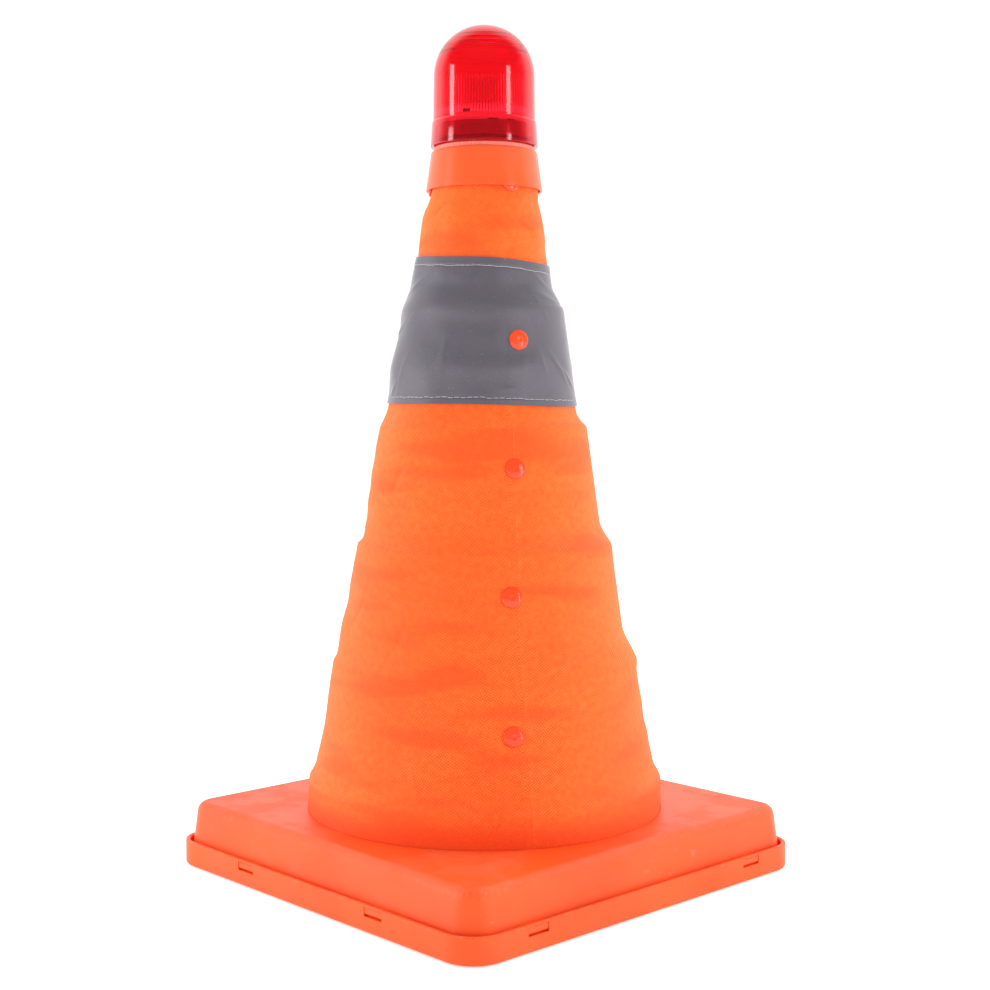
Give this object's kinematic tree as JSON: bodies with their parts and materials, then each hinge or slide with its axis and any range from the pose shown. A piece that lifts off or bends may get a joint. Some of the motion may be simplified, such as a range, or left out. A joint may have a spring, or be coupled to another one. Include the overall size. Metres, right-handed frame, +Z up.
{
  "type": "collapsible traffic cone with warning light",
  "caption": "Pop-up cloth traffic cone on a square base: nested sleeves pull up and hold, with a reflective band and a red battery lamp that twists on at the top.",
  "frame": {"origin": "centre of the tray's underside, on the floor", "axes": "+Z up along the cone's axis; the tray's sides lie along X and Y"},
  "size_m": [0.27, 0.27, 0.5029],
  "materials": {
    "base_plastic": "satin moulded polypropylene, coral orange",
    "sleeve_plastic": "plain moulded polypropylene, orange",
    "rivet_plastic": "satin nylon, red-orange",
    "cover_cloth": "coated twill, fluorescent orange",
    "reflective_cloth": "grey glass-bead reflective cloth",
    "collar_plastic": "satin moulded plastic, coral orange",
    "lamp_plastic": "moulded plastic, dark red",
    "lens_plastic": "clear tinted plastic, red",
    "seal_rubber": "matte",
    "screw_steel": "zinc plated",
    "contact_metal": "nickel plated spring strip",
    "holder_plastic": "black moulded plastic",
    "cell_jacket": "plain printed jacket",
    "board_laminate": "green solder mask",
    "led_epoxy": "red epoxy",
    "reflector_film": "metallised plastic",
    "chip_plastic": "black"
  },
  "bodies": {
    "base": {"base_tray": "base_plastic", "base_shell": "base_plastic", "base_ring": "sleeve_plastic", "base_ring_screws": "screw_steel", "cover_hem": "cover_cloth"},
    "stage_1": {"sleeve_1": "sleeve_plastic", "rivets_1": "rivet_plastic", "cover_panel_1": "cover_cloth"},
    "stage_2": {"sleeve_2": "sleeve_plastic", "rivets_2": "rivet_plastic", "cover_panel_2": "cover_cloth"},
    "stage_3": {"sleeve_3": "sleeve_plastic", "rivets_3": "rivet_plastic", "cover_panel_3": "cover_cloth"},
    "stage_4": {"sleeve_4": "sleeve_plastic", "rivets_4": "rivet_plastic", "cover_panel_4": "cover_cloth", "reflective_band_lower": "reflective_cloth"},
    "head": {"sleeve_5": "sleeve_plastic", "rivets_5": "rivet_plastic", "reflective_band_upper": "reflective_cloth", "cover_panel_5": "cover_cloth", "top_collar": "collar_plastic", "lamp_base": "lamp_plastic", "lamp_screws": "screw_steel", "lens_seal": "seal_rubber", "battery_holder": "holder_plastic", "battery_cells": "cell_jacket", "cell_bridge": "contact_metal", "head_contacts": "contact_metal"},
    "lamp_top": {"lens": "lens_plastic", "led_board": "board_laminate", "board_retainer": "holder_plastic", "leds": "led_epoxy", "reflector": "reflector_film", "driver_parts": "chip_plastic"}
  },
  "joints": [
    {"name": "sleeve_1_slide", "type": "slide", "parent": "base", "child": "stage_1", "axis": [0, 0, 1], "range_m": [-0.04835, 0], "deforming": ["cover_panel_1"]},
    {"name": "sleeve_2_slide", "type": "slide", "parent": "stage_1", "child": "stage_2", "axis": [0, 0, 1], "range_m": [-0.07, 0], "deforming": ["cover_panel_2"]},
    {"name": "sleeve_3_slide", "type": "slide", "parent": "stage_2", "child": "stage_3", "axis": [0, 0, 1], "range_m": [-0.07, 0], "deforming": ["cover_panel_3"]},
    {"name": "sleeve_4_slide", "type": "slide", "parent": "stage_3", "child": "stage_4", "axis": [0, 0, 1], "range_m": [-0.07, 0], "deforming": ["cover_panel_4", "reflective_band_lower"]},
    {"name": "sleeve_5_slide", "type": "slide", "parent": "stage_4", "child": "head", "axis": [0, 0, 1], "range_m": [-0.07, 0], "deforming": ["reflective_band_upper", "cover_panel_5"]},
    {"name": "lens_twist", "type": "hinge", "parent": "head", "child": "lamp_top", "pos_m": [0, 0, 0.44], "axis": [0, 0, 1], "range_deg": [0, 30]}
  ]
}
